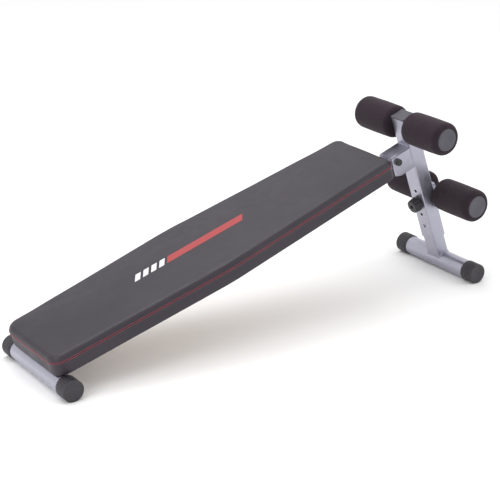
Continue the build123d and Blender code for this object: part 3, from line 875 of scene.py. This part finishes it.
cover_bm, upper_seam, lower_seam = sewn_cover()
cover_surface = BVHTree.FromBMesh(cover_bm)
pad_cover = make_piece("pad_cover", cover_bm, vinyl, "bench_frame",
                       into=pad_frame, sharp=None)
softer = pad_cover.modifiers.new("soft", "SUBSURF")
softer.levels = softer.render_levels = 1
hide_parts("pad_cushion")

# %% [markdown]
# ## Stitches
#
# Two rows of dark red thread run along the seam, one through the lip above it and one
# through the band below. Each stitch is a tiny rounded bar that sinks into the vinyl at
# both ends, so a squashed sphere with few faces is enough. They are all one piece.

# %% Stitches along the seam
STITCH_PITCH = 5.6 * MM
STITCH_LENGTH = 4.6 * MM
THREAD_RADIUS = 0.62 * MM


def stitch_row(bm, line):
    """Stitches along a closed line in the pad's frame."""
    for point, ahead in walk(line, STITCH_PITCH, closed=True):
        turn = ahead.to_track_quat("X", "Z").to_matrix().to_4x4()
        size = Matrix.Diagonal((STITCH_LENGTH / 2, THREAD_RADIUS, THREAD_RADIUS, 1))
        bmesh.ops.create_uvsphere(bm, u_segments=6, v_segments=5, radius=1,
                                  matrix=Matrix.Translation(point) @ turn @ size)


stitches_bm = bmesh.new()
stitch_row(stitches_bm, upper_seam)
stitch_row(stitches_bm, lower_seam)
make_piece("pad_stitches", stitches_bm, thread, "bench_frame",
           into=pad_frame, sharp=None)

# %% [markdown]
# ## The print on the pad
#
# A pad like this carries a printed band along its middle. This one has a plain sports
# stripe: slanted white bars that lead into one long red bar. A print is a film of ink
# that follows the vinyl, so each bar is a fine grid dropped onto the cover, point by
# point, and left a tenth of a millimetre proud.

# %% Stripes
PRINT_START = 298.0 * MM
PRINT_END = 612.0 * MM
PRINT_CELL = 6.0 * MM
PRINT_ROWS = 4
PRINT_HALF = 13.0 * MM
PRINT_SLANT = 9.0 * MM
PRINT_PROUD = 0.12 * MM
WHITE_BARS = 4
BAR_WIDTH = 15.0 * MM
BAR_GAP = 8.0 * MM


def printed_bar(bm, start, end, half):
    """One slanted bar that lies on the cover."""
    cells = max(2, round((end - start) / PRINT_CELL))
    grid = bmesh.ops.create_grid(bm, x_segments=cells, y_segments=PRINT_ROWS, size=1)["verts"]
    for vertex in grid:
        along, across = vertex.co.x, vertex.co.y
        x = start + (end - start) * (along + 1) / 2 + across * PRINT_SLANT
        above = Vector((x, across * half, pad_thickness * 2))
        hit, normal, _, _ = cover_surface.ray_cast(above, Vector((0, 0, -1)))
        vertex.co = hit + normal * PRINT_PROUD


white_bm = bmesh.new()
for bar in range(WHITE_BARS):
    left = PRINT_START + bar * (BAR_WIDTH + BAR_GAP)
    printed_bar(white_bm, left, left + BAR_WIDTH, PRINT_HALF)
make_piece("pad_print_white", white_bm, white_ink, "bench_frame", into=pad_frame)
red_bm = bmesh.new()
printed_bar(red_bm, PRINT_START + WHITE_BARS * (BAR_WIDTH + BAR_GAP), PRINT_END, PRINT_HALF)
make_piece("pad_print_red", red_bm, red_ink, "bench_frame", into=pad_frame)

# %% [markdown]
# ## Foam rollers
#
# A roller is a thick tube of foam, so it starts as a closed outline turned about its
# axle. The outline has well rounded ends, a slight crown, and at the outer end a lip
# that bulges past the grey disc. Foam is never quite round: noise moves the skin in and
# out by a fraction of a millimetre.

# %% Foam rollers
FOAM_EDGE = 14.0 * MM
FOAM_INNER_GROWTH = 1.6 * MM
FOAM_OUTER_GROWTH = 3.6 * MM
FOAM_CROWN = 0.5 * MM
FOAM_NOISE = 0.35 * MM
FOAM_NOISE_LENGTH = 14.0 * MM
FOAM_BARREL_STEPS = 12
FOAM_ARC_STEPS = 6
DISC_SINK = 31.0 * MM
DISC_SINK_DEPTH = 1.6 * MM
ROLLER_STEPS = 72


def foam_outline(bore, radius, inner, outer):
    """Points (radius, y) round the section of a roller, with y outwards."""
    turns = [math.pi / 2 * i / FOAM_ARC_STEPS for i in range(FOAM_ARC_STEPS + 1)]
    start, stop = inner - FOAM_INNER_GROWTH, outer + FOAM_OUTER_GROWTH
    inner_edge = [(radius - FOAM_EDGE * (1 - math.sin(turn)),
                   start + FOAM_EDGE * (1 - math.cos(turn))) for turn in turns]
    outer_edge = [(radius - FOAM_EDGE * (1 - math.cos(turn)),
                   stop - FOAM_EDGE * (1 - math.sin(turn))) for turn in turns]
    first, last = inner_edge[-1][1], outer_edge[0][1]
    barrel = []
    for i in range(1, FOAM_BARREL_STEPS):
        share = i / FOAM_BARREL_STEPS
        rise = FOAM_CROWN * (1 - (2 * share - 1) ** 2)
        barrel.append((radius + rise, first + (last - first) * share))
    face = [(DISC_SINK, stop - 0.6 * MM), (DISC_SINK - 0.9 * MM, stop - DISC_SINK_DEPTH),
            (DISC_SINK - 1.0 * MM, outer)]
    return [(bore, inner), (bore + 1 * MM, start)] + inner_edge + barrel + outer_edge \
        + face + [(bore, outer)]


def foam_roller(level, side):
    """The foam of one roller, in place of its plain solid."""
    node = f"roller_foam_{level}_{side}"
    low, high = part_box(node)
    core_low, core_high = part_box(f"roller_core_{level}_{side}")
    bore = (core_high.x - core_low.x) / 2
    radius = (high.x - low.x) / 2
    inner, outer = sorted((abs(low.y), abs(high.y)))
    bm = spun(foam_outline(bore, radius, inner, outer), ROLLER_STEPS, closed=True)
    bm.normal_update()
    seed = Vector((low.x, high.y, low.z)) * 50
    for vertex in bm.verts:
        if vertex.co.xz.length > bore + 3 * MM:
            vertex.co += vertex.normal * noise.noise(vertex.co / FOAM_NOISE_LENGTH + seed) * FOAM_NOISE
    if side == "right":
        mirrored(bm)
    axle_at = Matrix.Translation(((low.x + high.x) / 2, 0, (low.z + high.z) / 2))
    roller = make_piece(f"foam_{level}_{side}", bm, foam, f"roller_{level}_{side}",
                        into=axle_at, sharp=None)
    softer = roller.modifiers.new("soft", "SUBSURF")
    softer.levels = softer.render_levels = 1
    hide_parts(node)


for level in ("top", "lower"):
    for side in ("left", "right"):
        foam_roller(level, side)

# %% [markdown]
# ## Discs on the axle ends
#
# The grey discs are moulded with a rounded rim and a face that dips a little, which is
# why each shows a bright crescent instead of one flat tone. A short plug behind the disc
# fits in the axle.

# %% Axle discs
DISC_DISH = 1.3 * MM
DISC_PLUG_LENGTH = 10.0 * MM
DISC_PLUG_SHARE = 0.8
DISC_DISH_SHARE = 0.86
DISC_STEPS = 72


def disc_outline(radius, face, back, plug):
    """Points (radius, y) of a dished disc and its plug, with y outwards."""
    dish = [(radius * DISC_DISH_SHARE * share, face - DISC_DISH * (1 - share ** 2))
            for share in (0, 0.2, 0.4, 0.6, 0.8, 1)]
    rim = [(radius * 0.9, face), (radius * 0.945, face - 0.1 * MM),
           (radius * 0.98, face - 0.5 * MM), (radius, face - 1.2 * MM), (radius, back)]
    return dish + rim + [(plug, back), (plug, back - DISC_PLUG_LENGTH),
                         (0, back - DISC_PLUG_LENGTH)]


def axle_disc(level, side):
    node = f"axle_cap_{level}_{side}"
    low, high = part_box(node)
    axle_low, axle_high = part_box("top_axle" if level == "top" else "lower_axle")
    face = max(abs(low.y), abs(high.y))
    back = axle_high.y
    plug = (axle_high.x - axle_low.x) / 2 * DISC_PLUG_SHARE
    bm = spun(disc_outline((high.x - low.x) / 2, face, back, plug), DISC_STEPS)
    if side == "right":
        mirrored(bm)
    axle_at = Matrix.Translation(((low.x + high.x) / 2, 0, (low.z + high.z) / 2))
    disc = make_piece(f"disc_{level}_{side}", bm, grey_plastic, "upright",
                      into=axle_at)
    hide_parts(node)


for level in ("top", "lower"):
    for side in ("left", "right"):
        axle_disc(level, side)

# %% [markdown]
# ## Foot caps
#
# Each foot ends in a push-on cap with ribs, so that it can be turned to level the bench.
# It is a turned shape whose barrel is then cut by grooves: every point of the barrel is
# moved inwards by an amount that repeats round the cap and fades out at the smooth rim.
# The end has a ring and a shallow recess, and the sole is flat where it wears.

# %% Foot caps
RIBS = 26
RIB_STEPS = 8
GROOVE_DEPTH = 1.25 * MM
SMOOTH_RIM = 4.5 * MM
RECESS_RADIUS = 18.0 * MM
RECESS_DEPTH = 0.9 * MM
CAP_END = 4.0 * MM
CAP_FIT = 0.05 * MM
RIB_CREASE = math.radians(50)


def cap_outline(radius, bore, length):
    """Points (radius, y) of a cap whose outer end is at y=0 and mouth at y=-length."""
    recess = [(0, -RECESS_DEPTH - 0.5 * MM), (1.6 * MM, -RECESS_DEPTH - 0.4 * MM),
              (2.2 * MM, -RECESS_DEPTH), (RECESS_RADIUS - 6 * MM, -RECESS_DEPTH),
              (RECESS_RADIUS - 1.0 * MM, -RECESS_DEPTH), (RECESS_RADIUS, -0.1 * MM),
              (RECESS_RADIUS + 0.6 * MM, 0)]
    edge = [(radius - 2.6 * MM, 0), (radius - 1.3 * MM, -0.2 * MM),
            (radius - 0.4 * MM, -0.9 * MM), (radius, -2.0 * MM)]
    barrel = [(radius, -SMOOTH_RIM * 0.75), (radius, -SMOOTH_RIM), (radius, -SMOOTH_RIM * 1.35),
              (radius, -length * 0.5), (radius, -length + 0.8 * MM),
              (radius - 0.5 * MM, -length)]
    return recess + edge + barrel + [(bore, -length), (bore, -CAP_END), (0, -CAP_END)]


def foot_cap(foot, side, body):
    """A ribbed cap in place of the plain solid one."""
    node = f"{foot}_foot_cap_{side}"
    low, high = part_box(node)
    tube_low, tube_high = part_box(f"{foot}_foot_tube")
    radius = (high.x - low.x) / 2
    bore = (tube_high.x - tube_low.x) / 2 + CAP_FIT
    end = max(abs(low.y), abs(high.y))
    bm = spun(cap_outline(radius, bore, high.y - low.y), RIBS * RIB_STEPS)
    for vertex in bm.verts:
        x, y, z = vertex.co
        if math.hypot(x, z) < radius - 0.7 * MM or y > -SMOOTH_RIM * 0.9:
            continue
        wave = 0.5 + 0.5 * math.cos(RIBS * math.atan2(z, x))
        inward = GROOVE_DEPTH * wave ** 3
        scale = 1 - inward / math.hypot(x, z)
        vertex.co = (x * scale, y, z * scale)
    bmesh.ops.translate(bm, verts=bm.verts, vec=(0, end, 0))
    if side == "right":
        mirrored(bm)
    centre = Vector(((low.x + high.x) / 2, 0, high.z - radius))
    for vertex in bm.verts:
        vertex.co.z = max(vertex.co.z, low.z - centre.z)
    cap = make_piece(f"cap_{foot}_{side}", bm, black_plastic, body,
                     into=Matrix.Translation(centre), sharp=RIB_CREASE)
    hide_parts(node)


for side in ("left", "right"):
    foot_cap("low", side, "bench_frame")
    foot_cap("high", side, "inner_leg")

# %% [markdown]
# ## Caps on the pivot bolt
#
# The bolt head and the nut wear black push-on caps with a rounded edge and a dimple in
# the middle where they left the mould.

# %% Pivot bolt caps
DIMPLE = 0.7 * MM
BOLT_CAP_EDGE = 2.4 * MM
BOLT_CAP_WALL = 1.3 * MM
BOLT_CAP_END = 1.6 * MM
BOLT_CAP_STEPS = 48


def bolt_cap(side):
    node = f"pivot_bolt_cap_{side}"
    low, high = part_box(node)
    radius = (high.x - low.x) / 2
    start, face = sorted((abs(low.y), abs(high.y)))
    turns = [math.pi / 2 * i / 5 for i in range(6)]
    edge = [(radius - BOLT_CAP_EDGE * (1 - math.sin(turn)),
             face - BOLT_CAP_EDGE * (1 - math.cos(turn))) for turn in turns]
    inner = radius - BOLT_CAP_WALL
    dent = [(radius / 2 * share, face - DIMPLE * (1 - share ** 2))
            for share in (0, 0.4, 0.75, 1)]
    outline = dent + edge + [(radius, start), (inner, start), (inner, face - BOLT_CAP_END),
                             (0, face - BOLT_CAP_END)]
    bm = spun(outline, BOLT_CAP_STEPS)
    if side == "right":
        mirrored(bm)
    bolt_at = Matrix.Translation(((low.x + high.x) / 2, 0, (low.z + high.z) / 2))
    cap = make_piece(f"bolt_cap_{side}", bm, black_plastic, "upright",
                     into=bolt_at)
    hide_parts(node)


for side in ("left", "right"):
    bolt_cap(side)

# %% [markdown]
# ## Weld beads
#
# The steel parts are joined by welds that were painted over. A weld is a row of drops
# that froze one after another, so each bead is a line of overlapping squashed balls, a
# little uneven in size and place. They sink into both parts by half, and take the paint.

# %% Weld beads
DROP_RADIUS = 2.1 * MM
DROP_PITCH = 1.7 * MM
DROP_SQUASH = 0.75
DROP_UNEVEN = 0.12
DROP_SHIFT = 0.15 * MM
THIN_WELD = 1.5 * MM
PLATE_WELD = 1.6 * MM
WEB_WELD = 1.8 * MM
INSET = 0.985
random.seed(5)


def weld(bm, points, closed=False, size=DROP_RADIUS):
    """Adds a bead along a line of points."""
    for place, ahead in walk(points, DROP_PITCH, closed):
        turn = ahead.to_track_quat("X", "Z").to_matrix().to_4x4()
        swell = size * random.uniform(1 - DROP_UNEVEN, 1 + DROP_UNEVEN)
        shift = Vector(random.uniform(-DROP_SHIFT, DROP_SHIFT) for _ in range(3))
        shape = Matrix.Diagonal((swell * DROP_SQUASH, swell, swell, 1))
        bmesh.ops.create_icosphere(bm, subdivisions=2, radius=1,
                                   matrix=Matrix.Translation(place + shift) @ turn @ shape)


def coped_ring(half_x, half_y, radius, axis_at, steps=8):
    """Where a square tube of those half sizes, along z, meets a round bar along y."""
    across = [half_x * (2 * i / steps - 1) for i in range(steps + 1)]
    near = [Vector((x, -half_y, axis_at.z + math.sqrt(radius ** 2 - (x - axis_at.x) ** 2)))
            for x in across]
    far = [Vector((point.x, half_y, point.z)) for point in reversed(near)]
    return near + far


def leg_welds():
    """The pivot bracket and the lower axle's bracket on the upright."""
    bm = bmesh.new()
    tube_low, tube_high = box_in(leg_frame, "upright_tube")
    low, high = box_in(leg_frame, "pivot_bracket")
    for side in (low.y, high.y):
        weld(bm, [Vector((tube_low.x - 0.4 * MM, side * INSET, low.z)),
                  Vector((tube_low.x - 0.4 * MM, side * INSET, high.z - 5 * MM))], size=THIN_WELD)
    weld(bm, [Vector((tube_low.x - 0.3 * MM, low.y * 0.8, high.z + 0.2 * MM)),
              Vector((tube_low.x - 0.3 * MM, high.y * 0.8, high.z + 0.2 * MM))], size=WEB_WELD)
    low, high = box_in(leg_frame, "lower_axle_bracket")
    for side in (low.y, high.y):
        weld(bm, [Vector((tube_high.x + 0.4 * MM, side * INSET, low.z)),
                  Vector((tube_high.x + 0.4 * MM, side * INSET, high.z))], size=THIN_WELD)
    make_piece("welds_upright", bm, silver, "upright", into=leg_frame, sharp=None)


def high_foot_weld():
    """The inner leg on the high foot."""
    bm = bmesh.new()
    tube_low, tube_high = box_in(leg_frame, "inner_leg_tube")
    foot_low, foot_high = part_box("high_foot_tube")
    radius = (foot_high.x - foot_low.x) / 2
    axis_at = leg_frame.inverted() @ middle("high_foot_tube")
    axis_at.y = 0
    ring = coped_ring(tube_high.x, tube_high.y, radius, axis_at)
    weld(bm, ring, closed=True)
    make_piece("welds_high_foot", bm, silver, "inner_leg", into=leg_frame,
               sharp=None)


def beam_welds():
    """The beam on the low foot, and the two pad plates on the beam."""
    bm = bmesh.new()
    beam_low, beam_high = box_in(slope_frame, "main_tube")
    foot_low, foot_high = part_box("low_foot_tube")
    radius = (foot_high.x - foot_low.x) / 2
    foot_at = slope_frame.inverted() @ middle("low_foot_tube")
    half_y = beam_high.y
    heights = [beam_low.z + (beam_high.z - beam_low.z) * i / 6 for i in range(7)]
    near = [Vector((foot_at.x + math.sqrt(radius ** 2 - (z - foot_at.z) ** 2), -half_y, z))
            for z in heights]
    far = [Vector((point.x, half_y, point.z)) for point in reversed(near)]
    weld(bm, near + far, closed=True)
    for plate in ("pad_plate_low", "pad_plate_high"):
        low, high = box_in(slope_frame, plate)
        for side in (-half_y, half_y):
            start = Vector((low.x + 4 * MM, side, low.z))
            end = Vector((high.x - 4 * MM, side, low.z))
            weld(bm, [start, end], size=PLATE_WELD)
    make_piece("welds_beam", bm, silver, "bench_frame", into=slope_frame,
               sharp=None)


leg_welds()
high_foot_weld()
beam_welds()
